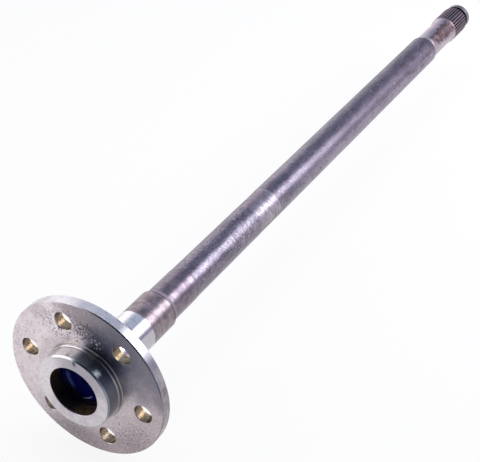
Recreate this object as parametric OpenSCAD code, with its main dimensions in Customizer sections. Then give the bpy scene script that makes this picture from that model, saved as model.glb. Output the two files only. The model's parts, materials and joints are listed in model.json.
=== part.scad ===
// Rear axle shaft, forged in one piece and turned. It runs along +X, from the wheel flange to the splined
// inner end. The origin is the centre of the flange's wheel face, and all sizes are in millimetres.

/* [Flange] */
// Diameter of the wheel flange
flange_d = 152.4; // [144:0.1:170]
// Thickness of the flange
flange_t = 10; // [7:0.1:14]
// Chamfer on both edges of the flange's rim
rim_chamfer = 0.8; // [0.2:0.1:2]
// Diameter of the boss behind the flange, at the flange's back face
boss_d = 84; // [66:0.5:94]
// Diameter of the boss at its nose, next to the bearing seat
boss_nose_d = 54; // [50:0.5:62]
// Length of the boss behind the flange's back face
boss_len = 11; // [8:0.1:16]
// Fillet around the foot of the boss
boss_fillet = 4; // [1:0.1:6]

/* [Stud holes] */
// Number of stud holes
stud_count = 6; // [4:1:8]
// Diameter of the circle through the stud holes
stud_circle_d = 114.3; // [112:0.1:124]
// Diameter of a stud hole
stud_hole_d = 16.8; // [12:0.1:18]
// Chamfer on both edges of a stud hole
stud_hole_chamfer = 0.4; // [0.2:0.1:1.5]
// Angle of the first stud hole from straight up, towards +Y
stud_first_angle = 18; // [0:1:59]

/* [Pilot and recess] */
// Diameter of the wheel pilot
pilot_d = 71.2; // [66:0.1:72]
// Height of the pilot above the wheel face
pilot_h = 17.3; // [12:0.1:24]
// Chamfer on the pilot's front edge
pilot_chamfer = 1.4; // [0.4:0.1:3]
// Diameter of the drum register at the foot of the pilot
register_d = 72.8; // [72.2:0.1:80]
// Height of the drum register above the wheel face
register_h = 4.2; // [2.5:0.1:8]
// Fillet between the drum register and the wheel face
register_fillet = 1.2; // [0.3:0.1:2]
// Diameter of the blind recess in the pilot
recess_d = 47.3; // [36:0.1:56]
// Depth of the recess below the pilot's front face
recess_depth = 17; // [10:0.1:22]
// Radius in the corner of the recess floor
recess_corner = 3; // [0.5:0.1:6]
// Chamfer around the mouth of the recess
recess_chamfer = 0.5; // [0.2:0.1:1.5]

/* [Bearing seat and relief] */
// Diameter of the ground bearing seat
seat_d = 39.65; // [39.4:0.01:44]
// Length of the bearing seat from the boss to the relief, with its root fillet
seat_len = 52.8; // [30:0.1:80]
// Fillet at the root of the bearing seat
seat_fillet = 3; // [0.5:0.1:5]
// Diameter of the relief inboard of the seat
relief_d = 39.1; // [38:0.01:39.6]
// Length of the relief
relief_len = 33.4; // [15:0.1:60]
// Chamfer at the end of the relief
relief_chamfer = 0.6; // [0.2:0.1:1]
// Fillet at the foot of the relief's shoulder
shoulder_fillet = 1.2; // [0.3:0.1:1.5]

/* [Shank] */
// Diameter of the turned stretch next to the relief
turned_d = 34.9; // [34.4:0.1:37]
// Length of the turned stretch
turned_len = 40; // [20:0.1:80]
// Length of the taper from the turned stretch to the shank
turned_taper = 3; // [1:0.1:10]
// Diameter of the shank
shank_d = 34.2; // [33:0.1:34.8]
// Length of the shank from the turned stretch to the neck's shoulder
shank_len = 551.4; // [300:0.1:700]
// Distance of the steady-rest band from the start of the shank
band_offset = 118; // [20:1:240]
// Length of the steady-rest band
band_len = 38; // [15:1:60]
// Depth of the steady-rest band below the shank's surface
band_depth = 0.15; // [0.05:0.01:0.4]

/* [Neck and spline] */
// Diameter of the neck
neck_d = 30.6; // [28:0.1:31]
// Length of the neck from its shoulder to the first teeth
neck_len = 65.4; // [50:0.1:100]
// Length of the neck's shoulder
neck_shoulder_len = 3; // [1:0.1:6]
// Fillet at both ends of the neck
neck_fillet = 8; // [2:0.1:12]
// Length of the flare from the neck to the spline
flare_len = 9; // [5:0.1:16]
// Outside diameter of the spline
spline_d = 33.9; // [33:0.1:36]
// Length of the spline
spline_len = 36.5; // [24:0.1:60]
// Number of spline teeth
tooth_count = 31; // [24:1:36]
// Slope of a tooth's flanks from the radius
flank_angle = 30; // [20:1:37]
// Length over which the tooth spaces run out towards the neck
runout_len = 4; // [1:0.1:8]
// Chamfer at the free end of the teeth
tooth_chamfer = 0.8; // [0.2:0.1:1.4]

/* [Clip groove and button] */
// Width of the groove for the retaining clip
groove_w = 5.8; // [3:0.1:8]
// Diameter at the bottom of the groove
groove_d = 24.6; // [20:0.1:27]
// Radius in the corners of the groove
groove_corner = 0.8; // [0.2:0.1:1.4]
// Diameter of the button at the end of the shaft
button_d = 31; // [29:0.1:31]
// Length of the button
button_len = 7.9; // [4:0.1:10]
// Chamfer on the button's outer edge
button_chamfer = 0.8; // [0.3:0.1:2.5]

/* [Lathe centres] */
// Diameter of a lathe centre at its mouth
centre_d = 10; // [6:0.1:14]
// Diameter of the drilled bottom of a lathe centre
centre_drill_d = 4; // [2:0.1:5]
// Depth of a lathe centre
centre_depth = 9; // [7.5:0.1:14]
// Full angle of a lathe centre's cone
centre_angle = 60; // [60:1:90]

/* [Hidden] */
$fn = 120;

// Straight steps in each rounded corner of the turned outline
corner_steps = 6;
// How far a cutting shape reaches past the surface that it cuts
overcut = 1;

// Stations along the shaft, from the wheel face
recess_floor_x = recess_depth - pilot_h;
boss_end_x = flange_t + boss_len;
seat_end_x = boss_end_x + seat_len;
relief_end_x = seat_end_x + relief_len;
turned_end_x = relief_end_x + turned_len;
band_start_x = turned_end_x + band_offset;
band_end_x = band_start_x + band_len;
shank_end_x = turned_end_x + shank_len;
spline_start_x = shank_end_x + neck_len;
spline_end_x = spline_start_x + spline_len;
groove_end_x = spline_end_x + groove_w;
shaft_end_x = groove_end_x + button_len;

// Tooth form: the outside diameter is one module over the pitch diameter, the root 0.9 module under it
tooth_module = spline_d / (tooth_count + 1);
pitch_r = tooth_module * tooth_count / 2;
root_r = pitch_r - 0.9 * tooth_module;
pitch_half_space = PI * tooth_module / 4;

centre_cone_len = (centre_d - centre_drill_d) / 2 / tan(centre_angle / 2);

function unit(v) = v / norm(v);

// Points of the arc that rounds the corner at v, between its neighbours a and b, with v.z as its radius
function rounded_corner(a, v, b) =
    let (
        corner = [v.x, v.y],
        to_a = unit([a.x, a.y] - corner),
        to_b = unit([b.x, b.y] - corner),
        half = acos(to_a * to_b) / 2,
        centre = corner + unit(to_a + to_b) * v.z / sin(half),
        from = corner + to_a * v.z / tan(half) - centre,
        turn = sign(cross(to_b, to_a)) * (180 - 2 * half),
        start = atan2(from.y, from.x)
    )
    [for (i = [0:corner_steps])
        centre + v.z * [cos(start + turn * i / corner_steps), sin(start + turn * i / corner_steps)]];

// An outline from corners of [radius, station, corner radius], with 0 for a sharp corner
function outline(path) = [
    for (i = [0:len(path) - 1])
        each path[i].z == 0
            ? [[path[i].x, path[i].y]]
            : rounded_corner(path[i - 1], path[i], path[i + 1])
];

// The wheel end, from the lathe centre in the recess to the back of the flange
wheel_end = [
    [0, recess_floor_x + centre_depth, 0],
    [centre_drill_d / 2, recess_floor_x + centre_depth, 0],
    [centre_drill_d / 2, recess_floor_x + centre_cone_len, 0],
    [centre_d / 2, recess_floor_x, 0],
    [recess_d / 2, recess_floor_x, recess_corner],
    [recess_d / 2, recess_chamfer - pilot_h, 0],
    [recess_d / 2 + recess_chamfer, -pilot_h, 0],
    [pilot_d / 2 - pilot_chamfer, -pilot_h, 0],
    [pilot_d / 2, pilot_chamfer - pilot_h, 0],
    [pilot_d / 2, -register_h, 0],
    [register_d / 2, (register_d - pilot_d) / 2 - register_h, 0],
    [register_d / 2, 0, register_fillet],
    [flange_d / 2 - rim_chamfer, 0, 0],
    [flange_d / 2, rim_chamfer, 0],
    [flange_d / 2, flange_t - rim_chamfer, 0],
    [flange_d / 2 - rim_chamfer, flange_t, 0]
];

// The boss, the bearing seat, the relief and the shank
shaft_body = [
    [boss_d / 2, flange_t, boss_fillet],
    [boss_nose_d / 2, boss_end_x, 0],
    [seat_d / 2, boss_end_x, seat_fillet],
    [seat_d / 2, seat_end_x - (seat_d - relief_d) / 2, 0],
    [relief_d / 2, seat_end_x, 0],
    [relief_d / 2, relief_end_x - relief_chamfer, 0],
    [relief_d / 2 - relief_chamfer, relief_end_x, 0],
    [turned_d / 2, relief_end_x, shoulder_fillet],
    [turned_d / 2, turned_end_x, 0],
    [shank_d / 2, turned_end_x + turned_taper, 0],
    [shank_d / 2, band_start_x, 0],
    [shank_d / 2 - band_depth, band_start_x + band_depth, 0],
    [shank_d / 2 - band_depth, band_end_x - band_depth, 0],
    [shank_d / 2, band_end_x, 0],
    [shank_d / 2, shank_end_x, 0]
];

// The neck, the blank of the spline, the clip groove and the button, back to the axis
inner_end = [
    [neck_d / 2, shank_end_x + neck_shoulder_len, neck_fillet],
    [neck_d / 2, spline_start_x - flare_len, neck_fillet],
    [spline_d / 2, spline_start_x, 0],
    [spline_d / 2, spline_end_x - tooth_chamfer, 0],
    [spline_d / 2 - tooth_chamfer, spline_end_x, 0],
    [groove_d / 2, spline_end_x, groove_corner],
    [groove_d / 2, groove_end_x, groove_corner],
    [button_d / 2, groove_end_x, 0],
    [button_d / 2, shaft_end_x - button_chamfer, 0],
    [button_d / 2 - button_chamfer, shaft_end_x, 0],
    [centre_d / 2, shaft_end_x, 0],
    [centre_drill_d / 2, shaft_end_x - centre_cone_len, 0],
    [centre_drill_d / 2, shaft_end_x - centre_depth, 0],
    [0, shaft_end_x - centre_depth, 0]
];

// The whole turned outline, spun about the shaft's axis
module turned_blank() {
    rotate_extrude()
        polygon(outline(concat(wheel_end, shaft_body, inner_end)));
}

// One stud hole through the flange, with both its chamfers
module stud_hole() {
    hole_r = stud_hole_d / 2;
    mouth_r = hole_r + stud_hole_chamfer + overcut;
    rotate_extrude()
        polygon([
            [0, -overcut],
            [mouth_r, -overcut],
            [hole_r, stud_hole_chamfer],
            [hole_r, flange_t - stud_hole_chamfer],
            [mouth_r, flange_t + overcut],
            [0, flange_t + overcut]
        ]);
}

// Copies around the shaft's axis, the first at an angle from straight up
module around(count, first_angle = 0) {
    for (i = [0:count - 1])
        rotate([0, 0, 180 - first_angle - 360 / count * i])
            children();
}

// Half the width of a tooth space at a radius
function half_space(r) = pitch_half_space + (r - pitch_r) * tan(flank_angle);

// The section of one tooth space, open past the outside of the spline
module tooth_space_section() {
    open_r = spline_d / 2 + overcut;
    polygon([
        [root_r, -half_space(root_r)],
        [open_r, -half_space(open_r)],
        [open_r, half_space(open_r)],
        [root_r, half_space(root_r)]
    ]);
}

// The tooth spaces of the spline, cut shallower towards the neck
module tooth_spaces() {
    rise = (spline_d / 2 - root_r) * overcut / runout_len;
    intersection() {
        around(tooth_count)
            translate([0, 0, spline_start_x - overcut])
                linear_extrude(spline_len + 2 * overcut)
                    tooth_space_section();
        rotate_extrude()
            polygon([
                [root_r - overcut, spline_start_x + runout_len],
                [root_r, spline_start_x + runout_len],
                [spline_d / 2 + rise, spline_start_x - overcut],
                [spline_d / 2 + 2 * overcut, spline_start_x - overcut],
                [spline_d / 2 + 2 * overcut, spline_end_x + overcut],
                [root_r - overcut, spline_end_x + overcut]
            ]);
    }
}

module axle_shaft() {
    color([0.56, 0.54, 0.58])
        rotate([0, 90, 0])
            difference() {
                turned_blank();
                around(stud_count, stud_first_angle)
                    translate([stud_circle_d / 2, 0, 0])
                        stud_hole();
                tooth_spaces();
            }
}

axle_shaft();
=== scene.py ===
"""The finished look of the rear axle shaft: a fine mesh of the same turned form, with a finish for each
stretch, on a plain white floor under soft studio light. Sizes are in millimetres, and points go into the mesh
in metres."""

import json
import math

import bmesh
import bpy
from mathutils import Matrix, Vector


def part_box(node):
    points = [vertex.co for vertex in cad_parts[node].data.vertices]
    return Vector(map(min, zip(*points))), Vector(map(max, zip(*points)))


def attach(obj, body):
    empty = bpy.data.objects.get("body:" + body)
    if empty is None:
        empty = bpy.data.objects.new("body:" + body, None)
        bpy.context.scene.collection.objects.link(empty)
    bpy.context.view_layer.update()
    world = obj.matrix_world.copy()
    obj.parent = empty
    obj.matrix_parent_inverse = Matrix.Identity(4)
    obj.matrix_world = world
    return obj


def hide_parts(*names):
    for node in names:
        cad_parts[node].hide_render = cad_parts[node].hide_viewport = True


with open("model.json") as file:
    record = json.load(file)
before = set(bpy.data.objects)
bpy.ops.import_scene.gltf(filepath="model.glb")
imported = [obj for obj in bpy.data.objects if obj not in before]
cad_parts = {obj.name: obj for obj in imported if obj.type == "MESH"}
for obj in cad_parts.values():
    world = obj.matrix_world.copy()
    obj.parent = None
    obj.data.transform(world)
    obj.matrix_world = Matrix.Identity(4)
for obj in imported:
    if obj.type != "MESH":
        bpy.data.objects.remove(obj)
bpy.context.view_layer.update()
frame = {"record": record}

MM = 0.001

# Sizes that the frame gives
low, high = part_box("axle_shaft")
mounts = {mount["name"]: mount["dims"] for mount in frame["record"]["mounts"]}
PILOT_FRONT = low.x / MM
SHAFT_END = high.x / MM
STUD_COUNT = mounts["wheel_studs"]["count"]
STUD_CIRCLE_R = mounts["wheel_studs"]["pcd_mm"] / 2
STUD_HOLE_R = mounts["wheel_studs"]["hole_r_mm"]
PILOT_R = mounts["wheel_pilot"]["r_mm"]
SEAT_R = mounts["bearing_seat"]["r_mm"]
SPLINE_R = mounts["side_gear_spline"]["r_mm"]
SPLINE_LEN = mounts["side_gear_spline"]["length_mm"]
GROOVE_R = mounts["clip_groove"]["r_mm"]
GROOVE_W = mounts["clip_groove"]["length_mm"]

# Flange, pilot and recess
FLANGE_R = 76.2
FLANGE_T = 10.0
RIM_CHAMFER = 0.8
STUD_CHAMFER = 0.4
STUD_FIRST_ANGLE = math.radians(18)
PILOT_CHAMFER = 1.4
REGISTER_R = 36.4
REGISTER_H = 4.2
REGISTER_FILLET = 1.2
RECESS_R = 23.65
RECESS_DEPTH = 17.0
RECESS_CORNER = 3.0
RECESS_CHAMFER = 0.5

# Boss, bearing seat and relief
BOSS_R = 42.0
BOSS_NOSE_R = 27.0
BOSS_END = 21.0
BOSS_FILLET = 4.0
SEAT_FILLET = 3.0
SEAT_END = 73.8
RELIEF_R = 19.55
RELIEF_END = 107.2
RELIEF_CHAMFER = 0.6
SHOULDER_FILLET = 1.2

# Turned stretch, shank and neck
TURNED_R = 17.45
TURNED_END = 147.2
TURNED_TAPER = 3.0
SHANK_R = 17.1
SHANK_END = 698.6
BAND_START = 265.2
BAND_END = 303.2
BAND_DEPTH = 0.15
NECK_R = 15.3
NECK_SHOULDER = 3.0
NECK_FILLET = 8.0
FLARE_LEN = 9.0

# Spline, button and lathe centres
TOOTH_COUNT = 31
FLANK_SLOPE = math.tan(math.radians(30))
# Depth of a tooth space below the pitch circle, in modules
ROOT_DEPTH = 0.9
RUNOUT_LEN = 4.0
TOOTH_CHAMFER = 0.8
GROOVE_CORNER = 0.8
BUTTON_R = 15.5
BUTTON_LEN = 7.9
BUTTON_CHAMFER = 0.8
CENTRE_R = 5.0
CENTRE_DRILL_R = 2.0
CENTRE_DEPTH = 9.0
CENTRE_CONE = (CENTRE_R - CENTRE_DRILL_R) / math.tan(math.radians(30))

RECESS_FLOOR = PILOT_FRONT + RECESS_DEPTH
GROOVE_END = SHAFT_END - BUTTON_LEN
SPLINE_END = GROOVE_END - GROOVE_W
SPLINE_START = SPLINE_END - SPLINE_LEN
TOOTH_MODULE = 2 * SPLINE_R / (TOOTH_COUNT + 1)
PITCH_R = TOOTH_MODULE * TOOTH_COUNT / 2
ROOT_R = PITCH_R - ROOT_DEPTH * TOOTH_MODULE
PITCH_HALF_SPACE = math.pi * TOOTH_MODULE / 4

# Fineness of the mesh: its columns divide evenly among the teeth and among the stud holes
COLUMNS_PER_TOOTH = 6
COLUMNS = COLUMNS_PER_TOOTH * TOOTH_COUNT
COLUMN_ANGLE = 2 * math.pi / COLUMNS
TOOTH_ANGLE = 2 * math.pi / TOOTH_COUNT
STUD_ANGLE = 2 * math.pi / STUD_COUNT
SECTOR_COLUMNS = COLUMNS // STUD_COUNT
SECTOR_SIDE_STEPS = 12
SECTOR_LAYERS = 5
ARC_STEP = math.radians(10)
LONGEST_FACE = 8.0
RUNOUT_STEPS = 4
# The softening of a machined edge, where the outline has no fillet
EDGE = 0.25
# Vertices that lie this close become one
WELD = 0.001

# Angle of the first column: at the flange, where a stud hole's sector starts, and at the spline, in the
# middle of a tooth space
FLANGE_TURN = STUD_FIRST_ANGLE - STUD_ANGLE / 2
SPLINE_TURN = -TOOTH_ANGLE

# Finishes

# The plane across the shaft, as a factor for each axis
ACROSS = (0.0, 1.0, 1.0)
# A quarter of a turn, which sets a highlight's stretch across the lines of a turned surface
QUARTER_TURN = 0.25
# The way that the painted bright side of every stud hole's wall faces: painted light there, painted shade
# away from it
PAINTED_LIT_SIDE = (0.0, -0.62, 0.785)
# A painted glint on the recess's floor: the centre, radius and half width of its arc, and the way to its
# middle
GLINT_CENTRE = (RECESS_FLOOR, 6.0, -6.3)
GLINT_R = 14.8
GLINT_HALF_W = 1.1
GLINT_SIDE = (0.0, -0.514, -0.857)


class Nodes:
    """A node tree, with short ways to add to it."""

    def __init__(self, tree):
        self.tree = tree

    def add(self, kind, **settings):
        node = self.tree.nodes.new(kind)
        for name, value in settings.items():
            setattr(node, name, value)
        return node

    def put(self, value, socket):
        """Links a node's output to a socket, or writes a plain value there."""
        if isinstance(value, bpy.types.NodeSocket):
            self.tree.links.new(value, socket)
        else:
            socket.default_value = value

    def vector(self, operation, a, b=None, scale=None):
        node = self.add("ShaderNodeVectorMath", operation=operation)
        self.put(a, node.inputs[0])
        if b is not None:
            self.put(b, node.inputs[1])
        if scale is not None:
            self.put(scale, node.inputs["Scale"])
        return node.outputs["Value" if operation in ("LENGTH", "DOT_PRODUCT") else "Vector"]

    def math(self, operation, a, b=0.0):
        node = self.add("ShaderNodeMath", operation=operation)
        self.put(a, node.inputs[0])
        self.put(b, node.inputs[1])
        return node.outputs[0]

    def times(self, a, b):
        return self.math("MULTIPLY", a, b)

    def ramp(self, value, start, end, to=(0.0, 1.0)):
        """A smooth step of value, from start to end. It falls where start is the larger one."""
        node = self.add("ShaderNodeMapRange", interpolation_type="SMOOTHSTEP")
        for socket, number in zip(node.inputs, (value, start, end, *to)):
            self.put(number, socket)
        return node.outputs[0]

    def blend(self, share, a, b):
        """Colour a, with this share of colour b."""
        node = self.add("ShaderNodeMix", data_type="RGBA")
        self.put(share, node.inputs[0])
        for colour, socket in ((a, node.inputs[6]), (b, node.inputs[7])):
            self.put(colour if isinstance(colour, bpy.types.NodeSocket) else (*colour, 1.0), socket)
        return node.outputs[2]

    def axes(self, place):
        """The three parts of a vector."""
        node = self.add("ShaderNodeSeparateXYZ")
        self.put(place, node.inputs[0])
        return node.outputs


class Finish(Nodes):
    """A finish made of nodes: a colour that coats go over, and relief. Its places are in millimetres."""

    def __init__(self, name, metallic=1.0, brushed=0.0):
        """Brushed is how far the turned surface stretches highlights along the part."""
        self.material = bpy.data.materials.new(name)
        self.material.use_nodes = True
        super().__init__(self.material.node_tree)
        self.shader = self.tree.nodes["Principled BSDF"]
        self.shader.inputs["Metallic"].default_value = metallic
        if brushed:
            self.shader.inputs["Anisotropic"].default_value = brushed
            self.shader.inputs["Anisotropic Rotation"].default_value = QUARTER_TURN
            around = self.add("ShaderNodeTangent", direction_type="RADIAL", axis="X")
            self.put(around.outputs[0], self.shader.inputs["Tangent"])
        coordinates = self.add("ShaderNodeTexCoord").outputs["Object"]
        self.place = self.vector("SCALE", coordinates, scale=1 / MM)
        self.colour = None
        self.normal = None

    def noise(self, size, detail=3.0, rough=0.5, seed=0.0):
        """Cloudy noise about 0.5. Its grain is one size, or one for each axis."""
        sizes = size if isinstance(size, tuple) else (size, size, size)
        node = self.add("ShaderNodeTexNoise", noise_dimensions="4D")
        self.put(self.vector("DIVIDE", self.place, sizes), node.inputs["Vector"])
        node.inputs["W"].default_value = seed
        node.inputs["Scale"].default_value = 1.0
        node.inputs["Detail"].default_value = detail
        node.inputs["Roughness"].default_value = rough
        return node.outputs[0]

    def clouds(self, size, **grain):
        """Noise with its contrast raised, so that it covers 0 to 1."""
        return self.ramp(self.noise(size, **grain), 0.35, 0.65)

    def spread(self, size, to, **grain):
        """A roughness that drifts between two values."""
        return self.ramp(self.noise(size, **grain), 0.3, 0.7, to=to)

    def swing(self, size, by, **grain):
        """Noise about 0, up to half of by to either side."""
        return self.times(self.math("SUBTRACT", self.noise(size, **grain), 0.5), by)

    def station(self):
        return self.axes(self.place)[0]

    def radius(self):
        return self.vector("LENGTH", self.vector("MULTIPLY", self.place, ACROSS))

    def rings(self, size):
        """Noise about 0.5 that changes with the distance to the axis alone, as a facing tool's rings do."""
        node = self.add("ShaderNodeTexNoise", noise_dimensions="1D")
        self.put(self.math("DIVIDE", self.radius(), size), node.inputs["W"])
        node.inputs["Scale"].default_value = 1.0
        return node.outputs[0]

    def towards(self, angle):
        """How far a place lies towards an angle around the axis: 1 on that side, -1 on the other."""
        turn = math.radians(angle)
        outward = self.vector("NORMALIZE", self.vector("MULTIPLY", self.place, ACROSS))
        return self.vector("DOT_PRODUCT", outward, (0.0, math.sin(turn), math.cos(turn)))

    def band(self, start, end, soft):
        """1 between two stations, with a soft edge outside each of them."""
        station = self.station()
        return self.times(self.ramp(station, start - soft, start), self.ramp(station, end + soft, end))

    def dots(self, spacing, radius):
        """Scattered ragged dots of many sizes, up to a radius: 1 inside them, 0 between them."""
        node = self.add("ShaderNodeTexVoronoi")
        self.put(self.vector("SCALE", self.place, scale=1 / spacing), node.inputs["Vector"])
        node.inputs["Scale"].default_value = 1.0
        share = self.ramp(self.axes(node.outputs["Color"])[0], 0.0, 1.0, to=(0.4, 1.0))
        reach = self.times(share, radius / spacing)
        distance = self.math("DIVIDE", node.outputs["Distance"], reach)
        return self.ramp(self.math("ADD", distance, self.swing(radius, 1.4)), 1.0, 0.6)

    def patch(self, centre, reach, ragged=0.5, grain=4.0, seed=0.0):
        """A ragged patch: 1 around its centre, and 0 past its reach along each axis."""
        offset = self.vector("DIVIDE", self.vector("SUBTRACT", self.place, centre), reach)
        uneven = self.swing(grain, 2 * ragged, seed=seed)
        return self.ramp(self.math("ADD", self.vector("LENGTH", offset), uneven), 1.0, 0.5)

    def coat(self, mask, paint, share=1.0):
        """Covers a share of the colour with paint where the mask is 1, and less where the mask is less."""
        cover = mask if share == 1.0 else self.times(mask, share)
        self.colour = self.blend(cover, self.colour, paint)

    def relief(self, height, depth):
        """Adds unevenness of this depth in millimetres to the surface."""
        node = self.add("ShaderNodeBump")
        node.inputs["Strength"].default_value = 1.0
        node.inputs["Distance"].default_value = depth * MM
        self.put(height, node.inputs["Height"])
        if self.normal:
            self.put(self.normal, node.inputs["Normal"])
        self.normal = node.outputs[0]

    def done(self, roughness):
        """Links the colour, the roughness and the relief to the shader. Returns the material."""
        self.put(self.colour, self.shader.inputs["Base Color"])
        self.put(roughness, self.shader.inputs["Roughness"])
        if self.normal:
            self.put(self.normal, self.shader.inputs["Normal"])
        return self.material


def on_shaft(station, angle, radius):
    """The place, in millimetres, at a station and at an angle in degrees from straight up towards +Y."""
    turn = math.radians(angle)
    return (station, radius * math.sin(turn), radius * math.cos(turn))


def darker(colour, share):
    """A colour with this share of its light."""
    return tuple(share * part for part in colour)


def shank_finish():
    """Dull blue-grey scale, cloudy and mottled, with streaks, specks, brown stains, a rubbed patch, and
    painted shade and a painted reflection on its sides.
    """
    f = Finish("scaled_shank")
    station = f.station()
    clouds = f.clouds((26.0, 11.0, 11.0), detail=5.0, rough=0.65)
    f.colour = f.blend(clouds, (0.155, 0.142, 0.192), (0.24, 0.211, 0.268))
    # Painted reflection: lighter on one side from station 300 on
    painted_low_sheen = f.times(f.ramp(station, 300.0, 430.0), f.ramp(f.towards(-95.0), 0.2, 0.9))
    f.coat(painted_low_sheen, (0.40, 0.35, 0.455), share=0.6)
    mottle = f.noise((2.2, 3.0, 3.0), rough=0.6, seed=12.0)
    f.coat(f.ramp(mottle, 0.55, 0.70), (0.38, 0.345, 0.41), share=0.8)
    f.coat(f.ramp(mottle, 0.45, 0.30), (0.075, 0.065, 0.09), share=0.85)
    pitted = f.ramp(station, 340.0, 270.0, to=(0.35, 1.0))
    grain = f.noise(1.8, rough=0.65, seed=13.0)
    f.coat(f.times(f.ramp(grain, 0.54, 0.66), pitted), (0.42, 0.39, 0.45), share=0.6)
    f.coat(f.times(f.ramp(grain, 0.46, 0.33), pitted), (0.05, 0.045, 0.06), share=0.7)
    streaks = f.ramp(f.noise((30.0, 1.6, 1.6), detail=2.0, seed=3.0), 0.5, 0.75)
    f.coat(streaks, (0.31, 0.27, 0.31), share=0.3)
    dark = f.ramp(f.noise((5.0, 3.0, 3.0), seed=5.0), 0.61, 0.68)
    f.coat(dark, (0.06, 0.045, 0.06), share=0.7)
    stain = f.ramp(f.noise((18.0, 7.0, 7.0), detail=4.0, rough=0.55, seed=9.0), 0.42, 0.70)
    stain = f.times(stain, f.ramp(station, 560.0, 660.0, to=(0.4, 0.9)))
    # Brown stains, denser on the highlight side, where they also stand as painted shade that dims the
    # highlight
    stain = f.times(stain, f.ramp(f.towards(-46.0), 0.5, 0.95, to=(0.4, 1.0)))
    f.coat(stain, (0.125, 0.092, 0.105))
    # Painted shade: darker on the highlight side past station 360, so that the highlight fades
    painted_shade = f.times(f.ramp(station, 360.0, 470.0), f.ramp(f.towards(-46.0), 0.88, 0.985))
    f.coat(painted_shade, (0.10, 0.08, 0.105), share=0.5)
    f.coat(f.times(f.dots(spacing=8.0, radius=1.5), streaks), (0.80, 0.78, 0.82))
    rubbed = f.patch(on_shaft(246.0, -54.0, SHANK_R), (46.0, 13.0, 13.0), ragged=0.4, grain=9.0, seed=2.0)
    hatch = f.times(rubbed, f.ramp(f.noise((0.9, 5.0, 5.0), seed=4.0), 0.48, 0.62))
    f.coat(hatch, (0.50, 0.47, 0.53), share=0.75)
    f.relief(mottle, 0.09)
    f.relief(hatch, 0.03)
    roughness = f.spread((25.0, 6.0, 6.0), (0.29, 0.38), detail=4.0, seed=7.0)
    dusty = f.ramp(station, 300.0, 600.0, to=(0.0, 0.08))
    dull = f.math("ADD", dusty, f.times(rubbed, 0.08))
    return f.done(f.math("ADD", roughness, dull))


def band_finish():
    """The steady-rest band: rubbed scale, painted lighter on top and with a painted highlight on one side,
    with a brown ring and short scratches.
    """
    f = Finish("steady_band")
    rubbed = f.ramp(f.noise((9.0, 5.0, 5.0), detail=5.0, rough=0.65), 0.35, 0.7)
    f.colour = f.blend(rubbed, (0.15, 0.125, 0.158), (0.27, 0.23, 0.28))
    f.coat(f.band(BAND_END - 14.0, BAND_END - 5.0, soft=2.0), (0.20, 0.145, 0.185), share=0.6)
    for station in (BAND_END - 20.0, BAND_END - 2.0):
        ring = f.times(f.band(station - 0.5, station + 0.5, soft=3.0), rubbed)
        f.coat(ring, (0.46, 0.41, 0.48), share=0.75)
    # Painted light: a lighter top, and the highlight's side painted bright, partly as rubbed scale
    f.coat(f.ramp(f.towards(8.0), 0.85, 1.0), (0.40, 0.345, 0.42), share=0.4)
    f.coat(f.ramp(f.towards(-58.0), 0.5, 0.95), (0.52, 0.48, 0.54), share=0.6)
    scratches = f.ramp(f.noise((1.1, 6.0, 6.0), seed=4.0), 0.48, 0.62)
    f.coat(scratches, (0.14, 0.115, 0.15), share=0.65)
    f.relief(scratches, 0.05)
    return f.done(f.ramp(rubbed, 0.0, 1.0, to=(0.42, 0.34)))


def turned_finish(name, paler, stained, bright, roughness, light=None, dark=None):
    """A turned surface with the tool's rings and brown stains, and a painted highlight ring or a painted
    shade ring where it steps.
    """
    f = Finish(name, brushed=0.2)
    stain = f.ramp(f.noise(9.0, detail=5.0, rough=0.65, seed=1.0), 0.38, 0.62)
    f.colour = f.blend(stain, paler, stained)
    rings = f.noise((0.9, 60.0, 60.0), seed=6.0)
    f.coat(f.ramp(rings, 0.5, 0.66), bright, share=0.3)
    f.coat(f.ramp(rings, 0.46, 0.34), darker(stained, 0.4), share=0.3)
    spread = f.spread(8.0, roughness, seed=8.0)
    if light:
        # Painted highlight: a light ring on the fillet where the surface steps
        step = f.band(*light, soft=1.5)
        f.coat(step, (0.40, 0.36, 0.40), share=0.7)
        spread = f.math("MAXIMUM", spread, f.times(step, 0.6))
    if dark:
        # Painted shade: a dark ring on the rounded edge before the step
        f.coat(f.band(*dark, soft=0.8), (0.06, 0.045, 0.055), share=0.7)
    grain = f.noise((1.2, 3.0, 3.0), rough=0.6, seed=12.0)
    f.coat(f.ramp(grain, 0.44, 0.30), darker(stained, 0.5), share=0.5)
    f.relief(rings, 0.015)
    f.relief(grain, 0.04)
    return f.done(spread)


def seat_finish():
    """The ground bearing seat, near a mirror: hair lines around it, and painted shade on its low side."""
    f = Finish("ground_seat", brushed=0.6)
    lines = f.noise((0.5, 40.0, 40.0), detail=1.0)
    f.colour = f.blend(f.ramp(lines, 0.45, 0.75), (0.76, 0.75, 0.78), (0.64, 0.63, 0.67))
    # Painted shade: darker towards the seat's low side
    f.coat(f.ramp(f.towards(-88.0), 0.5, 0.95), (0.42, 0.38, 0.44), share=0.7)
    return f.done(f.spread((5.0, 12.0, 12.0), (0.18, 0.24), seed=2.0))


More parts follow.
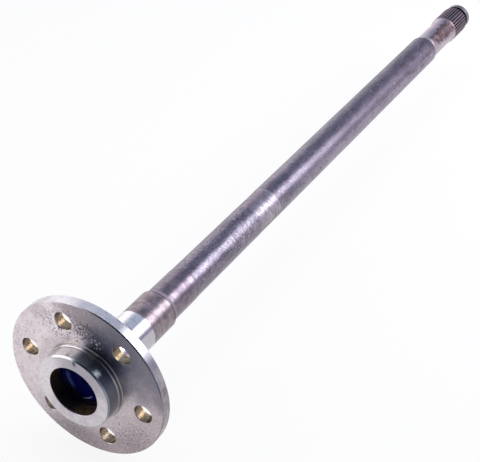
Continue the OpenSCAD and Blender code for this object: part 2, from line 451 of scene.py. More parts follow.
def soil_face(f):
    """The wheel face's marks: painted shade by the pilot's foot, soil smeared by the top, darker towards the
    low edge, and grime.
    """
    # Painted shade: darker beside the pilot on its lighter side
    foot = f.times(f.ramp(f.towards(62.0), 0.4, 0.95), f.ramp(f.radius(), 54.0, 42.0))
    f.coat(foot, (0.40, 0.35, 0.38), share=0.45)
    grime = f.ramp(f.noise(1.1, rough=0.7, seed=9.0), 0.48, 0.66)
    smears = f.patch(on_shaft(0.0, 39.0, 72.0), (20.0, 20.0, 9.0), ragged=0.8, grain=7.0, seed=9.0)
    smears = f.times(smears, f.ramp(grime, 0.0, 1.0, to=(0.3, 1.0)))
    film = f.patch(on_shaft(0.0, 4.0, 68.0), (20.0, 24.0, 14.0), ragged=0.6, grain=7.0, seed=4.0)
    f.coat(f.math("MAXIMUM", smears, film), (0.32, 0.275, 0.30), share=0.8)
    # Darker towards the low outer edge
    edge = f.times(f.ramp(f.towards(-168.0), 0.5, 0.95), f.ramp(f.radius(), 50.0, 66.0))
    f.coat(edge, (0.25, 0.20, 0.22), share=0.5)
    f.coat(grime, (0.22, 0.18, 0.20), share=0.22)
    mottle = f.noise(6.0, detail=4.0, rough=0.65, seed=21.0)
    f.coat(f.ramp(mottle, 0.55, 0.35), (0.36, 0.30, 0.33), share=0.3)


def grain_face(f, painted_shade):
    """The wheel face's grain, coarser in places, with its pale points only where no painted shade lies."""
    grain = f.noise(1.9, rough=0.8, seed=13.0)
    coarse = f.ramp(f.noise(16.0, detail=2.0, seed=30.0), 0.38, 0.62, to=(0.25, 1.0))
    f.coat(f.times(f.ramp(grain, 0.48, 0.39), coarse), (0.17, 0.14, 0.16), share=0.5)
    f.coat(f.times(f.ramp(grain, 0.52, 0.62), f.ramp(painted_shade, 0.5, 0.0)), (0.90, 0.84, 0.87), share=0.35)


def pit_face(f):
    """The wheel face's pits, and bare bright dots beside them. Returns where both are."""
    pits = f.patch(on_shaft(0.0, 9.0, 51.0), (20.0, 40.0, 20.0), grain=8.0)
    pits = f.times(pits, f.dots(spacing=1.5, radius=0.85))
    dense = f.patch(on_shaft(0.0, -5.0, 52.0), (20.0, 17.0, 12.0), grain=6.0, seed=6.0)
    dense = f.times(dense, f.ramp(f.noise(1.6, detail=2.0, rough=0.6, seed=41.0), 0.48, 0.55))
    pits = f.math("MAXIMUM", pits, dense)
    f.coat(pits, (0.13, 0.105, 0.13), share=0.85)
    bare = f.patch(on_shaft(0.0, -19.0, 45.0), (20.0, 8.0, 7.0), grain=5.0, seed=3.0)
    bare = f.times(bare, f.dots(spacing=2.0, radius=1.0))
    f.coat(bare, (0.80, 0.78, 0.84))
    return pits, bare


def rust_face(f):
    """Specks of rust in two patches near the wheel face's low edge."""
    rust = f.patch(on_shaft(0.0, 170.0, 70.0), (20.0, 34.0, 16.0), grain=8.0)
    rust = f.math("MAXIMUM", rust, f.patch(on_shaft(0.0, -135.0, 60.0), (20.0, 26.0, 26.0), grain=8.0))
    specks = f.ramp(f.noise(2.0, rough=0.75, seed=17.0), 0.52, 0.60)
    f.coat(f.times(rust, specks), (0.13, 0.10, 0.105), share=0.75)


def face_finish():
    """The flange's wheel face: faced on a lathe, painted light on one side and painted shade on another,
    soiled, pitted and rusty in places.
    """
    f = Finish("flange_face", brushed=0.85)
    uneven = f.swing(20.0, 0.9, detail=4.0, rough=0.6)
    # Painted light: the face lighter towards one side, as light falls on it
    paler = f.ramp(f.math("ADD", f.towards(72.0), uneven), -0.2, 0.8)
    f.colour = f.blend(paler, (0.545, 0.47, 0.50), (0.86, 0.77, 0.80))
    # Painted shade: a dark bluish side that stands in for a dark reflection
    painted_shade = f.ramp(f.math("ADD", f.towards(-46.0), uneven), 0.5, 1.0)
    f.coat(painted_shade, (0.175, 0.18, 0.235), share=0.85)
    # Painted shade: darkest beside the pilot on that side
    painted_deep_shade = f.times(f.ramp(f.towards(-33.0), 0.84, 0.97), f.ramp(f.radius(), 72.0, 46.0))
    f.coat(painted_deep_shade, (0.03, 0.055, 0.11), share=0.85)
    soil_face(f)
    grain_face(f, painted_shade)
    rings = f.rings(0.8)
    f.coat(f.ramp(rings, 0.5, 0.7), (0.36, 0.33, 0.36), share=0.15)
    pits, bare = pit_face(f)
    rust_face(f)
    f.relief(rings, 0.02)
    f.relief(f.math("SUBTRACT", 1.0, pits), 0.03)
    roughness = f.ramp(f.radius(), 44.0, 58.0, to=(0.29, 0.46))
    rough_spots = f.times(f.math("MAXIMUM", pits, bare), 0.85)
    return f.done(f.math("MAXIMUM", roughness, rough_spots))


def pilot_finish():
    """The pilot and the flange's rim: turned steel with fine lines, the pilot with a painted highlight and
    painted shade, the rim soiled and painted darker on its low side and front chamfer.
    """
    f = Finish("turned_pilot", brushed=0.6)
    f.colour = f.blend(f.clouds(12.0, detail=4.0, rough=0.6), (0.66, 0.64, 0.66), (0.54, 0.53, 0.57))
    # 1 on the pilot, 0 on the rim
    inner = f.ramp(f.radius(), FLANGE_R - 10, FLANGE_R - 20)
    # Painted highlight on the pilot's upper side
    painted_highlight = f.times(f.ramp(f.towards(14.0), 0.9, 0.99), inner)
    f.coat(painted_highlight, (0.86, 0.85, 0.85), share=0.75)
    # Painted shade: the pilot dark on one side, standing in for a dark reflection
    painted_shade = f.times(f.ramp(f.towards(-58.0), 0.5, 0.72), inner)
    f.coat(painted_shade, (0.16, 0.20, 0.25), share=0.8)
    # Painted shade: the darkest streak on the pilot
    painted_deep_shade = f.times(f.ramp(f.towards(-18.0), 0.955, 0.995), inner)
    f.coat(painted_deep_shade, (0.02, 0.026, 0.04), share=0.6)
    # Painted shade on the pilot's underside
    painted_underside_shade = f.times(f.ramp(f.towards(-120.0), 0.6, 0.95), inner)
    f.coat(painted_underside_shade, (0.09, 0.09, 0.11), share=0.45)
    # Soil on the rim's low side, which also stands as painted shade
    soil_and_shade = f.math("SUBTRACT", f.ramp(f.towards(-108.0), 0.5, 0.9), inner)
    grime = f.ramp(f.noise(4.0, detail=4.0, rough=0.65, seed=8.0), 0.35, 0.65, to=(0.65, 1.0))
    f.coat(f.times(f.math("MAXIMUM", soil_and_shade, 0.0), grime), (0.19, 0.16, 0.185))
    # Painted shade: a dark line on the rim's front chamfer
    painted_lip_shade = f.times(f.band(0.0, RIM_CHAMFER, soft=0.2), f.ramp(f.towards(-42.0), 0.68, 0.88))
    f.coat(painted_lip_shade, (0.05, 0.07, 0.12), share=0.85)
    seam = f.band(-REGISTER_H - 1.0, -REGISTER_H, soft=0.4)
    f.coat(seam, (0.30, 0.27, 0.20), share=0.7)
    foot = f.times(f.band(-1.0, 0.0, soft=0.8), inner)
    f.coat(foot, (0.26, 0.22, 0.17), share=0.6)
    lines = f.noise((0.8, 50.0, 50.0), detail=2.0, seed=3.0)
    f.coat(f.ramp(lines, 0.5, 0.72), (0.36, 0.35, 0.38), share=0.3)
    f.relief(lines, 0.015)
    roughness = f.spread(9.0, (0.22, 0.30), seed=5.0)
    return f.done(f.math("ADD", roughness, f.times(painted_shade, 0.05)))


def ring_finish():
    """The pilot's front face: faced steel, painted light on one side and painted shade on another, with marks
    and a knock.
    """
    f = Finish("faced_ring", brushed=0.5)
    f.colour = f.blend(f.clouds(5.0, detail=4.0, rough=0.65), (0.66, 0.62, 0.65), (0.54, 0.51, 0.54))
    # Painted light on one side, and painted shade on the other
    f.coat(f.ramp(f.towards(80.0), 0.4, 0.95), (0.82, 0.755, 0.79), share=0.6)
    f.coat(f.ramp(f.towards(-25.0), 0.45, 0.95), (0.30, 0.285, 0.335), share=0.62)
    marks = f.ramp(f.noise(1.3, detail=1.0, seed=6.0), 0.60, 0.70)
    f.coat(marks, (0.28, 0.27, 0.30), share=0.5)
    knock = f.patch(on_shaft(PILOT_FRONT, -7.0, 32.0), (4.0, 2.4, 3.6), ragged=1.0, grain=1.4)
    f.coat(knock, (0.09, 0.075, 0.10), share=0.85)
    f.relief(f.noise(0.9, detail=2.0, seed=2.0), 0.03)
    return f.done(0.4)


def hole_finish():
    """A stud hole's wall: a golden passivated film, painted light on one side and painted shade elsewhere."""
    f = Finish("golden_hole", brushed=0.5)
    film = f.ramp(f.noise(14.0, detail=1.0, seed=2.0), 0.4, 0.6)
    f.colour = f.blend(film, (0.56, 0.40, 0.25), (0.46, 0.40, 0.30))
    tone = f.ramp(f.noise((2.5, 4.0, 4.0), detail=4.0, rough=0.65), 0.38, 0.66)
    f.coat(tone, (0.20, 0.14, 0.08), share=0.85)
    # Painted shade on the wall away from its painted bright side
    facing = f.vector("DOT_PRODUCT", f.add("ShaderNodeTexCoord").outputs["Normal"], PAINTED_LIT_SIDE)
    f.coat(f.ramp(facing, 0.97, 0.55), (0.06, 0.045, 0.032), share=0.8)
    specks = f.ramp(f.noise(1.0, detail=2.0, seed=3.0), 0.55, 0.62)
    f.coat(specks, (0.05, 0.03, 0.012), share=0.5)
    f.relief(f.noise((0.7, 6.0, 6.0), detail=2.0, seed=5.0), 0.04)
    return f.done(0.36)


def recess_wall_finish():
    """The recess's rough wall: dark brown with baked oil, painted shade on one low side, with golden specks.
    """
    f = Finish("recess_wall", metallic=0.0)
    tone = f.clouds((2.5, 6.0, 6.0), detail=5.0, rough=0.65)
    f.colour = f.blend(tone, (0.006, 0.004, 0.003), (0.055, 0.028, 0.012))
    # Painted shade: black on one low side inside the recess
    f.coat(f.ramp(f.towards(145.0), 0.78, 0.97), (0.003, 0.003, 0.005), share=0.85)
    specks = f.ramp(f.noise(1.6, rough=0.7, seed=7.0), 0.46, 0.62)
    golden = f.times(specks, f.ramp(f.towards(-165.0), 0.86, 0.98))
    f.coat(golden, (0.17, 0.105, 0.035), share=0.7)
    f.relief(f.noise((1.2, 6.0, 6.0), seed=2.0), 0.08)
    return f.done(0.5)


def recess_floor_finish():
    """The recess's floor, painted dark blue: a painted sheen in strokes, painted shade at its low corner, and
    a painted glint.
    """
    f = Finish("recess_floor", metallic=0.0)
    f.shader.inputs["Specular IOR Level"].default_value = 0.04
    f.colour = f.blend(f.clouds(9.0), (0.0, 0.001, 0.052), (0.001, 0.003, 0.08))
    outer = f.times(f.ramp(f.radius(), 14.0, 18.5), f.ramp(f.radius(), 21.5, 18.8))
    # Painted sheen: pale blue strokes on one side of the floor
    painted_sheen_side = f.times(outer, f.ramp(f.towards(110.0), 0.84, 0.985))
    painted_sheen_strokes = f.times(painted_sheen_side, f.ramp(f.rings(1.2), 0.4, 0.62, to=(0.25, 1.0)))
    f.coat(painted_sheen_strokes, (0.12, 0.20, 0.50))
    # Painted shade: darker at the floor's low corner
    corner = f.times(f.ramp(f.radius(), 19.0, 21.0), f.ramp(f.towards(165.0), 0.3, 0.8))
    f.coat(corner, (0.006, 0.004, 0.012), share=0.9)
    # Painted glint: a pale arc near the floor's corner
    offset = f.vector("MULTIPLY", f.vector("SUBTRACT", f.place, GLINT_CENTRE), ACROSS)
    distance = f.vector("LENGTH", offset)
    arc = f.times(f.ramp(distance, GLINT_R - GLINT_HALF_W, GLINT_R), f.ramp(distance, GLINT_R + GLINT_HALF_W, GLINT_R))
    facing = f.vector("DOT_PRODUCT", f.vector("NORMALIZE", offset), GLINT_SIDE)
    f.coat(f.times(arc, f.ramp(facing, 0.905, 0.99)), (0.36, 0.38, 0.58))
    f.relief(f.noise(6.0, detail=2.0, seed=2.0), 0.1)
    return f.done(0.42)


def neck_finish():
    """The neck: turned bright, with a spotted brown stain on one side and a painted highlight ring at each
    end.
    """
    f = Finish("turned_neck", brushed=0.5)
    tone = f.clouds((12.0, 7.0, 7.0), detail=4.0, rough=0.6)
    f.colour = f.blend(tone, (0.58, 0.50, 0.56), (0.44, 0.375, 0.43))
    stain = f.patch(on_shaft(738.0, -40.0, NECK_R), (50.0, 12.0, 12.0), ragged=0.6, grain=7.0)
    rust = f.ramp(f.noise((6.0, 4.0, 4.0), detail=4.0, rough=0.7, seed=5.0), 0.36, 0.64)
    brown = f.blend(rust, (0.05, 0.027, 0.034), (0.14, 0.076, 0.078))
    f.coat(stain, brown, share=0.85)
    spots = f.times(stain, f.dots(spacing=6.0, radius=2.2))
    f.coat(spots, (0.045, 0.03, 0.03), share=0.8)
    # Painted highlights: a light ring on the fillet at each end of the neck
    f.coat(f.band(SHANK_END, SHANK_END + 6.0, soft=1.5), (0.50, 0.45, 0.50))
    f.coat(f.band(SPLINE_START - 1.2, SPLINE_START, soft=0.8), (0.37, 0.31, 0.34))
    f.relief(f.noise((1.0, 30.0, 30.0), detail=2.0, seed=3.0), 0.02)
    f.relief(rust, 0.02)
    return f.done(f.ramp(stain, 0.0, 1.0, to=(0.36, 0.5)))


def spline_finish():
    """The spline: dark in the tooth spaces, and rubbed pale on the crests."""
    f = Finish("spline")
    tone = f.clouds((6.0, 4.0, 4.0))
    f.colour = f.blend(tone, (0.08, 0.053, 0.07), (0.135, 0.092, 0.113))
    crest = f.ramp(f.radius(), SPLINE_R - 0.2, SPLINE_R - 0.05)
    f.coat(f.times(crest, f.ramp(tone, 0.0, 1.0, to=(0.75, 0.42))), (0.38, 0.31, 0.365))
    f.relief(f.noise(1.5, detail=2.0, seed=2.0), 0.03)
    return f.done(0.42)


def end_finish():
    """The button and its lathe centre: plain turned steel, dull with handling."""
    f = Finish("shaft_end", brushed=0.5)
    f.colour = f.blend(f.clouds(5.0), (0.30, 0.28, 0.31), (0.22, 0.205, 0.23))
    f.relief(f.noise((0.8, 20.0, 20.0), detail=2.0, seed=3.0), 0.02)
    return f.done(0.38)


def groove_finish():
    """The clip's groove, black all over: painted shade."""
    f = Finish("greased_groove")
    # Painted shade: the groove black all over
    f.colour = f.blend(f.clouds(3.0), (0.02, 0.018, 0.022), (0.045, 0.04, 0.045))
    return f.done(0.5)


FINISHES = {
    "shank": shank_finish(),
    "band": band_finish(),
    "turned": turned_finish(
        "turned_stretch",
        paler=(0.25, 0.208, 0.252),
        stained=(0.165, 0.136, 0.17),
        bright=(0.33, 0.285, 0.335),
        roughness=(0.28, 0.38),
        light=(RELIEF_END, RELIEF_END + 3.5),
    ),
    "relief": turned_finish(
        "relief",
        paler=(0.33, 0.27, 0.30),
        stained=(0.19, 0.155, 0.17),
        bright=(0.40, 0.345, 0.375),
        roughness=(0.29, 0.38),
        dark=(RELIEF_END - 1.2, RELIEF_END),
    ),
    "seat": seat_finish(),
    "face": face_finish(),
    "back": turned_finish(
        "flange_back",
        paler=(0.50, 0.48, 0.50),
        stained=(0.40, 0.38, 0.40),
        bright=(0.56, 0.53, 0.55),
        roughness=(0.34, 0.44),
    ),
    "pilot": pilot_finish(),
    "ring": ring_finish(),
    "hole": hole_finish(),
    "recess_wall": recess_wall_finish(),
    "recess_floor": recess_floor_finish(),
    "neck": neck_finish(),
    "spline": spline_finish(),
    "groove": groove_finish(),
    "end": end_finish(),
}
FINISH_SLOTS = list(FINISHES)

# Turned outlines: corners of (radius, station, rounding, finish of the stretch that leads to the corner).
# Where an outline ends at a flange face or at the spline, its outermost corner gives the last stretch its
# direction and is then cut off.
RECESS_AND_PILOT = [
    (CENTRE_DRILL_R, RECESS_FLOOR + CENTRE_DEPTH, 0.0, "recess_floor"),
    (CENTRE_DRILL_R, RECESS_FLOOR + CENTRE_CONE, 0.0, "recess_floor"),
    (CENTRE_R, RECESS_FLOOR, EDGE, "recess_floor"),
    (RECESS_R, RECESS_FLOOR, RECESS_CORNER, "recess_floor"),
    (RECESS_R, PILOT_FRONT + RECESS_CHAMFER, 0.0, "recess_wall"),
    (RECESS_R + RECESS_CHAMFER, PILOT_FRONT, 0.0, "ring"),
    (PILOT_R - PILOT_CHAMFER, PILOT_FRONT, EDGE, "ring"),
    (PILOT_R, PILOT_FRONT + PILOT_CHAMFER, EDGE, "pilot"),
    (PILOT_R, -REGISTER_H, 0.0, "pilot"),
    (REGISTER_R, REGISTER_R - PILOT_R - REGISTER_H, EDGE, "pilot"),
    (REGISTER_R, 0.0, REGISTER_FILLET, "pilot"),
    (FLANGE_R, 0.0, 0.0, "face"),
]
RIM = [
    (REGISTER_R, 0.0, 0.0, "face"),
    (FLANGE_R - RIM_CHAMFER, 0.0, 0.0, "face"),
    (FLANGE_R, RIM_CHAMFER, EDGE, "pilot"),
    (FLANGE_R, FLANGE_T - RIM_CHAMFER, EDGE, "pilot"),
    (FLANGE_R - RIM_CHAMFER, FLANGE_T, 0.0, "pilot"),
    (BOSS_R, FLANGE_T, 0.0, "back"),
]
SHAFT_BODY = [
    (FLANGE_R, FLANGE_T, 0.0, "back"),
    (BOSS_R, FLANGE_T, BOSS_FILLET, "back"),
    (BOSS_NOSE_R, BOSS_END, EDGE, "back"),
    (SEAT_R, BOSS_END, SEAT_FILLET, "back"),
    (SEAT_R, SEAT_END - (SEAT_R - RELIEF_R), 0.0, "seat"),
    (RELIEF_R, SEAT_END, 0.0, "relief"),
    (RELIEF_R, RELIEF_END - RELIEF_CHAMFER, EDGE, "relief"),
    (RELIEF_R - RELIEF_CHAMFER, RELIEF_END, EDGE, "relief"),
    (TURNED_R, RELIEF_END, SHOULDER_FILLET, "turned"),
    (TURNED_R, TURNED_END, 0.0, "turned"),
    (SHANK_R, TURNED_END + TURNED_TAPER, 0.0, "turned"),
    (SHANK_R, BAND_START, 0.0, "shank"),
    (SHANK_R - BAND_DEPTH, BAND_START + BAND_DEPTH, 0.0, "band"),
    (SHANK_R - BAND_DEPTH, BAND_END - BAND_DEPTH, 0.0, "band"),
    (SHANK_R, BAND_END, 0.0, "band"),
    (SHANK_R, SHANK_END, EDGE, "shank"),
    (NECK_R, SHANK_END + NECK_SHOULDER, NECK_FILLET, "neck"),
    (NECK_R, SPLINE_START - FLARE_LEN, NECK_FILLET, "neck"),
    (SPLINE_R, SPLINE_START, 0.0, "neck"),
]
INNER_END = [
    (SPLINE_R - TOOTH_CHAMFER, SPLINE_END, 0.0, "end"),
    (GROOVE_R, SPLINE_END, GROOVE_CORNER, "groove"),
    (GROOVE_R, GROOVE_END, GROOVE_CORNER, "groove"),
    (BUTTON_R, GROOVE_END, EDGE, "groove"),
    (BUTTON_R, SHAFT_END - BUTTON_CHAMFER, EDGE, "end"),
    (BUTTON_R - BUTTON_CHAMFER, SHAFT_END, EDGE, "end"),
    (CENTRE_R, SHAFT_END, EDGE, "end"),
    (CENTRE_DRILL_R, SHAFT_END - CENTRE_CONE, 0.0, "end"),
    (CENTRE_DRILL_R, SHAFT_END - CENTRE_DEPTH, 0.0, "end"),
]


def rounded(before, corner, after):
    """Points of the arc that rounds an outline's corner, from the stretch before it to the one after it."""
    at = Vector(corner[:2])
    to_before = (Vector(before[:2]) - at).normalized()
    to_after = (Vector(after[:2]) - at).normalized()
    half = to_before.angle(to_after) / 2
    centre = at + (to_before + to_after).normalized() * corner[2] / math.sin(half)
    start = at + to_before * corner[2] / math.tan(half) - centre
    turn = -to_before.angle_signed(to_after)
    turn = math.copysign(math.pi, turn) - turn
    steps = max(2, math.ceil(abs(turn) / ARC_STEP))
    return [centre + Matrix.Rotation(-turn * i / steps, 2) @ start for i in range(steps + 1)]


def outline(path):
    """A turned outline's stops: (radius, station, finish up to the stop, whether an edge shows there)."""
    stops = [(*path[0][:2], path[0][3], True)]
    for before, corner, after in zip(path, path[1:], path[2:] + [None]):
        arc = rounded(before, corner, after) if corner[2] and after else [Vector(corner[:2])]
        stops += [(*point, corner[3], len(arc) == 1) for point in arc]
    return stops


def polar(radius, angle, station):
    """A point of the mesh, from its distance to the axis, its angle from straight up and its station."""
    return MM * Vector((station, radius * math.sin(angle), radius * math.cos(angle)))


class Skin:
    """The mesh while it is put together from closed rings of vertices."""

    def __init__(self):
        self.bm = bmesh.new()

    def ring(self, points):
        return [self.bm.verts.new(point) for point in points]

    def circle(self, radius, station, turn):
        return self.ring(polar(radius, turn + COLUMN_ANGLE * i, station) for i in range(COLUMNS))

    def strip(self, a, b, finish):
        """Faces between two rings of as many vertices."""
        for i, vertex in enumerate(a):
            corners = (a[i - 1], vertex, b[i], b[i - 1])
            self.bm.faces.new(corners).material_index = FINISH_SLOTS.index(finish)

    def crease(self, ring):
        """Keeps the edges along a ring sharp."""
        for i, vertex in enumerate(ring):
            edge = self.bm.edges.get((ring[i - 1], vertex))
            edge.smooth = False

    def cap(self, ring, finish):
        """A fan of faces from a ring to the point on the axis in its plane."""
        tip = self.bm.verts.new((ring[0].co.x, 0.0, 0.0))
        for i, vertex in enumerate(ring):
            self.bm.faces.new((ring[i - 1], vertex, tip)).material_index = FINISH_SLOTS.index(finish)

    def lathe(self, stops, turn, first=None):
        """Spins stops about the axis, with more rings where they lie far apart. Returns the end rings."""
        first = first or self.circle(*stops[0][:2], turn)
        last = first
        for (radius, station, *_), (to_radius, to_station, finish, edge) in zip(stops, stops[1:]):
            pieces = math.ceil(math.hypot(to_radius - radius, to_station - station) / LONGEST_FACE)
            for i in range(1, pieces + 1):
                share = i / pieces
                at_radius = radius + (to_radius - radius) * share
                ring = self.circle(at_radius, station + (to_station - station) * share, turn)
                self.strip(last, ring, finish)
                last = ring
            if edge:
                self.crease(last)
        if stops[0][3]:
            self.crease(first)
        return first, last


def flank_angle(radius):
    """Angle from the middle of a tooth space to its flank, at a radius."""
    offset = PITCH_HALF_SPACE - PITCH_R * FLANK_SLOPE
    square = 1 + FLANK_SLOPE ** 2
    root = math.sqrt((FLANK_SLOPE * offset) ** 2 - square * (offset ** 2 - radius ** 2))
    depth = (root - FLANK_SLOPE * offset) / square
    return math.atan2(offset + depth * FLANK_SLOPE, depth)


def tooth_ring(station, floor_r, tip_r):
    """Points around the spline: the floor, flanks and crest of every tooth, one tooth after another."""
    floor_angle = flank_angle(floor_r)
    tip_angle = flank_angle(tip_r)
    tooth = [
        (floor_r, 0.0),
        (floor_r, floor_angle),
        (tip_r, tip_angle),
        (tip_r, TOOTH_ANGLE / 2),
        (tip_r, TOOTH_ANGLE - tip_angle),
        (floor_r, TOOTH_ANGLE - floor_angle),
    ]
    return [
        polar(radius, SPLINE_TURN + TOOTH_ANGLE * i + angle, station)
        for i in range(TOOTH_COUNT)
        for radius, angle in tooth
    ]


def add_spline(skin, neck_end):
    """The flare and the teeth, from the neck's last ring on. Returns the ring at the teeth's free end."""
    steps = [i / RUNOUT_STEPS for i in range(RUNOUT_STEPS + 1)]
    stations = [(SPLINE_START + RUNOUT_LEN * i, SPLINE_R + (ROOT_R - SPLINE_R) * i, SPLINE_R) for i in steps]
    stations.append((SPLINE_END - TOOTH_CHAMFER, ROOT_R, SPLINE_R))
    stations.append((SPLINE_END, ROOT_R, SPLINE_R - TOOTH_CHAMFER))
    rings = [skin.ring(tooth_ring(*station)) for station in stations]
    skin.strip(neck_end, rings[0], "neck")
    for a, b in zip(rings, rings[1:]):
        skin.strip(a, b, "spline")
        for i in range(COLUMNS):
            if i % COLUMNS_PER_TOOTH not in (0, COLUMNS_PER_TOOTH // 2):
                skin.bm.edges.get((a[i], b[i])).smooth = False
    for ring in rings[-2:]:
        skin.crease(ring)
    return rings[-1]


def sector_outline(inner, outer, sides, k):
    """The vertices around one stud hole's sector of a flange face, in order."""
    columns = [(SECTOR_COLUMNS * k + i) % COLUMNS for i in range(SECTOR_COLUMNS + 1)]
    return (
        [inner[i] for i in columns]
        + sides[(k + 1) % STUD_COUNT]
        + [outer[i] for i in reversed(columns)]
        + sides[k][::-1]
    )


def sectors(skin, inner, outer):
    """The outlines of all the stud holes' sectors between two rings of a flange face."""
    sides = [
        skin.ring(
            inner[SECTOR_COLUMNS * k].co.lerp(outer[SECTOR_COLUMNS * k].co, i / SECTOR_SIDE_STEPS)
            for i in range(1, SECTOR_SIDE_STEPS)
        )
        for k in range(STUD_COUNT)
    ]
    return [sector_outline(inner, outer, sides, k) for k in range(STUD_COUNT)]


def add_flange_holes(skin, front, back):
    """The stud holes, and the faces around them, from the front and back sectors' outlines."""
    levels = [
        (STUD_HOLE_R + STUD_CHAMFER, 0.0),
        (STUD_HOLE_R, STUD_CHAMFER),
        (STUD_HOLE_R, FLANGE_T - STUD_CHAMFER),
        (STUD_HOLE_R + STUD_CHAMFER, FLANGE_T),
    ]
    for k in range(STUD_COUNT):
        centre = polar(STUD_CIRCLE_R, STUD_FIRST_ANGLE + STUD_ANGLE * k, 0.0)
        ways = [(vertex.co - centre).normalized() for vertex in front[k]]
        hole = [
            skin.ring(centre + MM * (radius * way + Vector((station, 0.0, 0.0))) for way in ways)
            for radius, station in levels
        ]
        for a, b, finish in zip(hole, hole[1:], ("pilot", "hole", "pilot")):
            skin.strip(a, b, finish)
        for mouth, rim, finish in ((hole[0], front[k], "face"), (hole[-1], back[k], "back")):
            last = mouth
            for i in range(1, SECTOR_LAYERS):
                layer = skin.ring(a.co.lerp(b.co, i / SECTOR_LAYERS) for a, b in zip(mouth, rim))
                skin.strip(last, layer, finish)
                last = layer
            skin.strip(last, rim, finish)
        for ring in hole:
            skin.crease(ring)


def add_shaft():
    """The whole shaft as one closed mesh that stands for the CAD part."""
    skin = Skin()
    recess_bottom, register_foot = skin.lathe(outline(RECESS_AND_PILOT)[:-1], FLANGE_TURN)
    skin.cap(recess_bottom, "recess_floor")
    rim_front, rim_back = skin.lathe(outline(RIM)[1:-1], FLANGE_TURN)
    boss_foot, neck_end = skin.lathe(outline(SHAFT_BODY)[1:-1], FLANGE_TURN)
    spline_end = add_spline(skin, neck_end)
    _, shaft_end = skin.lathe(outline(INNER_END), SPLINE_TURN, first=spline_end)
    skin.cap(shaft_end, "end")
    add_flange_holes(skin, sectors(skin, register_foot, rim_front), sectors(skin, boss_foot, rim_back))

    bmesh.ops.remove_doubles(skin.bm, verts=skin.bm.verts, dist=MM * WELD)
    bmesh.ops.recalc_face_normals(skin.bm, faces=skin.bm.faces)
    mesh = bpy.data.meshes.new("shaft")
    for face in skin.bm.faces:
        face.smooth = True
    skin.bm.to_mesh(mesh)
    skin.bm.free()
    for name in FINISH_SLOTS:
        mesh.materials.append(FINISHES[name])
    shaft = bpy.data.objects.new("shaft", mesh)
    bpy.context.scene.collection.objects.link(shaft)
    weighted = shaft.modifiers.new("weighted_normals", "WEIGHTED_NORMAL")
    weighted.keep_sharp = True
    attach(shaft, "root")
    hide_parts("axle_shaft")


add_shaft()

# Studio

FLOOR_HALF = 20.0
FLOOR_COLOUR = (0.92, 0.92, 0.92, 1.0)
FLOOR_WHITE_SHARE = 0.88
# The room around the part: a bright left side that is dimmer beside the flange, a grey right side that is
# paler at its far end, a cool ceiling, and a dark front around the camera
LEFT_WALL = (1.5, 1.46, 1.5)
LEFT_WALL_FRONT = (0.55, 0.54, 0.56)
RIGHT_WALL = (0.46, 0.425, 0.565)
RIGHT_WALL_END = (0.80, 0.76, 0.86)
CEILING = (0.37, 0.42, 0.57)
FRONT = (0.06, 0.075, 0.11)

# The camera, from a fit to the photograph's view
CAMERA_AT = Vector((-0.5795, -0.48373, 0.66509))
CAMERA_AZIMUTH = math.radians(-59.80)
CAMERA_ELEVATION = math.radians(34.76)
CAMERA_LENS = 90.6
CAMERA_SENSOR = 36.0


def camera_back():
    """The way from what the camera sees to the camera."""
    return Vector((
        math.sin(CAMERA_AZIMUTH) * math.cos(CAMERA_ELEVATION),
        -math.cos(CAMERA_AZIMUTH) * math.cos(CAMERA_ELEVATION),
        math.sin(CAMERA_ELEVATION),
    ))


def add_floor():
    """A white floor under the rim. The camera and mirrors see most of its white and some of its shade."""
    bpy.ops.mesh.primitive_plane_add(size=2 * FLOOR_HALF, location=(0.0, 0.0, low.z))
    floor = bpy.context.object
    floor.name = "floor"
    material = bpy.data.materials.new("white_floor")
    material.use_nodes = True
    nodes = Nodes(material.node_tree)
    nodes.tree.nodes.clear()
    path = nodes.add("ShaderNodeLightPath").outputs
    seen = nodes.math("MAXIMUM", path["Is Camera Ray"], path["Is Glossy Ray"])
    seen = nodes.math("MAXIMUM", seen, path["Is Transmission Ray"])
    shaded = nodes.add("ShaderNodeBsdfDiffuse")
    shaded.inputs["Color"].default_value = FLOOR_COLOUR
    mix = nodes.add("ShaderNodeMixShader")
    nodes.put(nodes.times(seen, FLOOR_WHITE_SHARE), mix.inputs[0])
    nodes.put(shaded.outputs[0], mix.inputs[1])
    nodes.put(nodes.add("ShaderNodeEmission").outputs[0], mix.inputs[2])
    nodes.put(mix.outputs[0], nodes.add("ShaderNodeOutputMaterial").inputs["Surface"])
    floor.data.materials.append(material)


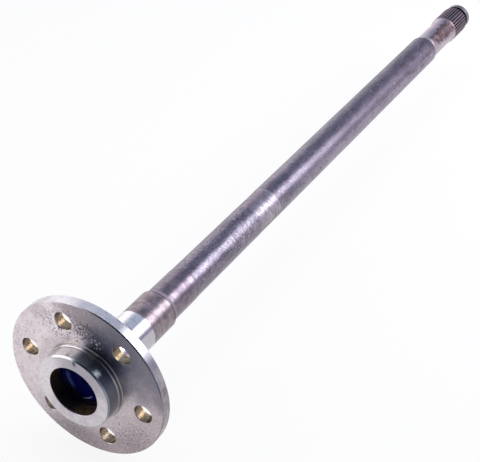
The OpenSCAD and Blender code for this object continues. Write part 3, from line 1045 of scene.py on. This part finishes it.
def add_world():
    """The room that lights the part and that the steel mirrors, by the way that one looks into it."""
    world = bpy.data.worlds.new("studio")
    bpy.context.scene.world = world
    world.use_nodes = True
    nodes = Nodes(world.node_tree)
    way = nodes.add("ShaderNodeTexCoord").outputs["Generated"]
    along, side, height = nodes.axes(way)
    room = nodes.blend(nodes.ramp(along, 0.65, 0.85), RIGHT_WALL, RIGHT_WALL_END)
    room = nodes.blend(nodes.ramp(height, 0.1, 0.5), room, CEILING)
    left = nodes.times(nodes.ramp(side, 0.2, 0.65), nodes.ramp(height, 0.8, 0.5))
    wall = nodes.blend(nodes.ramp(along, 0.1, 0.5), LEFT_WALL_FRONT, LEFT_WALL)
    room = nodes.blend(nodes.times(left, nodes.ramp(along, 0.95, 0.7)), room, wall)
    to_front = nodes.ramp(nodes.vector("DOT_PRODUCT", way, camera_back()), 0.5, 0.78)
    room = nodes.blend(nodes.times(to_front, nodes.ramp(height, 0.1, 0.35)), room, FRONT)
    nodes.put(room, nodes.tree.nodes["Background"].inputs["Color"])


def add_lamp(name, station, along, around, distance, width, height, radiance):
    """A soft box that faces the axis at a station, at an angle from +X and one from +Y to +Z."""
    lean = math.radians(along)
    turn = math.radians(around)
    back = Vector((math.cos(lean), math.sin(lean) * math.cos(turn), math.sin(lean) * math.sin(turn)))
    up = Vector((0.0, -math.sin(turn), math.cos(turn)))
    side = up.cross(back)
    data = bpy.data.lights.new(name, "AREA")
    data.shape = "RECTANGLE"
    data.size = width
    data.size_y = height
    data.energy = radiance * math.pi * width * height
    lamp = bpy.data.objects.new(name, data)
    place = Matrix.Translation(Vector((station, 0.0, 0.0)) + distance * back)
    lamp.matrix_world = place @ Matrix((side, up, back)).transposed().to_4x4()
    lamp.visible_camera = False
    bpy.context.scene.collection.objects.link(lamp)


def add_camera():
    """The camera that sees the part as the photograph does."""
    data = bpy.data.cameras.new("camera")
    data.lens = CAMERA_LENS
    data.sensor_width = CAMERA_SENSOR
    data.sensor_fit = "HORIZONTAL"
    camera = bpy.data.objects.new("camera", data)
    camera.location = CAMERA_AT
    camera.rotation_euler = camera_back().to_track_quat("Z", "Y").to_euler()
    bpy.context.scene.collection.objects.link(camera)
    bpy.context.scene.camera = camera


add_floor()
add_world()
add_lamp(
    "key_light", station=1.15, along=90.0, around=136.0, distance=1.05, width=0.8, height=0.62, radiance=5.0
)
add_lamp(
    "key_edge", station=1.15, along=90.0, around=137.0, distance=1.1, width=0.8, height=1.03, radiance=1.2
)
add_lamp(
    "fill_light", station=0.15, along=125.0, around=32.0, distance=1.4, width=1.05, height=1.35, radiance=0.9
)
add_lamp(
    "top_light", station=0.15, along=90.0, around=85.0, distance=1.6, width=1.2, height=1.2, radiance=2.2
)
add_camera()
bpy.context.scene.view_settings.view_transform = "Standard"
